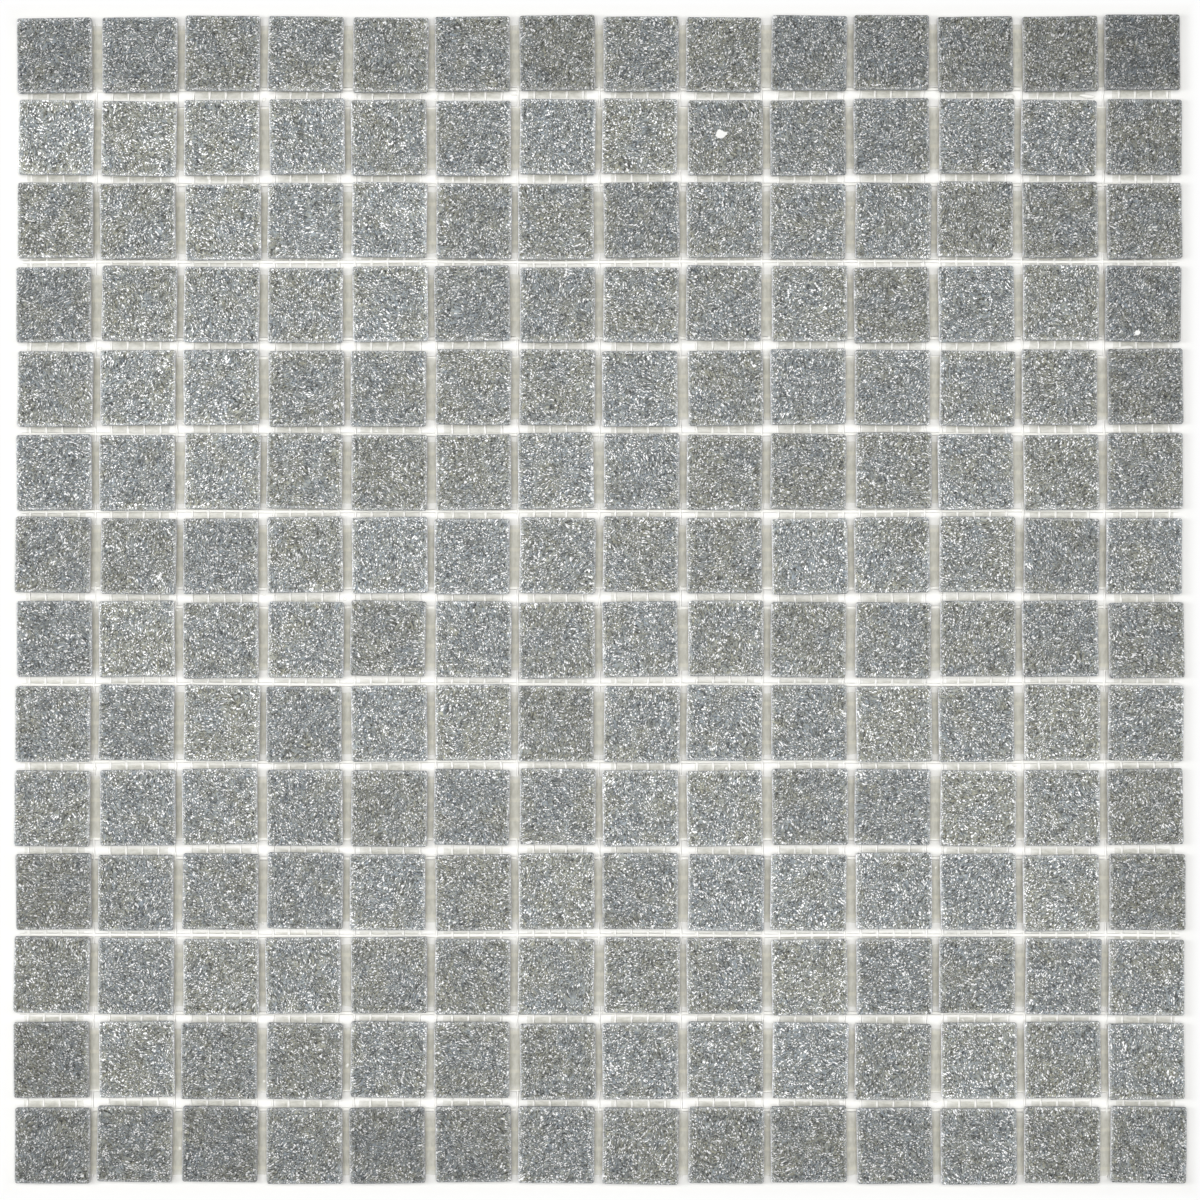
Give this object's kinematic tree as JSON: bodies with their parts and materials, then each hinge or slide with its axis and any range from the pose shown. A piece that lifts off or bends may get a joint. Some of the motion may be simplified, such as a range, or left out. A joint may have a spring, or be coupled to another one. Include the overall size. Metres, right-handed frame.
{
  "type": "mosaic tile sheet",
  "caption": "Square glass mosaic tiles bonded face up in a straight grid on an open glass-fibre mesh, with open joints between the tiles for grout.",
  "frame": {"origin": "middle of the sheet, on the underside of the backing mesh", "axes": "+Z out of the tile faces, +X along the rows, +Y towards the first row"},
  "size_m": [0.3058, 0.3058, 0.0044],
  "materials": {
    "tile_glass": "satin",
    "backing_mesh": "matte"
  },
  "bodies": {
    "root": {"tile_row_01": "tile_glass", "tile_row_02": "tile_glass", "tile_row_03": "tile_glass", "tile_row_04": "tile_glass", "tile_row_05": "tile_glass", "tile_row_06": "tile_glass", "tile_row_07": "tile_glass", "tile_row_08": "tile_glass", "tile_row_09": "tile_glass", "tile_row_10": "tile_glass", "tile_row_11": "tile_glass", "tile_row_12": "tile_glass", "tile_row_13": "tile_glass", "tile_row_14": "tile_glass", "mesh_strip_01": "backing_mesh", "mesh_strip_02": "backing_mesh", "mesh_strip_03": "backing_mesh", "mesh_strip_04": "backing_mesh", "mesh_strip_05": "backing_mesh", "mesh_strip_06": "backing_mesh", "mesh_strip_07": "backing_mesh", "mesh_strip_08": "backing_mesh", "mesh_strip_09": "backing_mesh", "mesh_strip_10": "backing_mesh", "mesh_strip_11": "backing_mesh", "mesh_strip_12": "backing_mesh"}
  },
  "joints": []
}
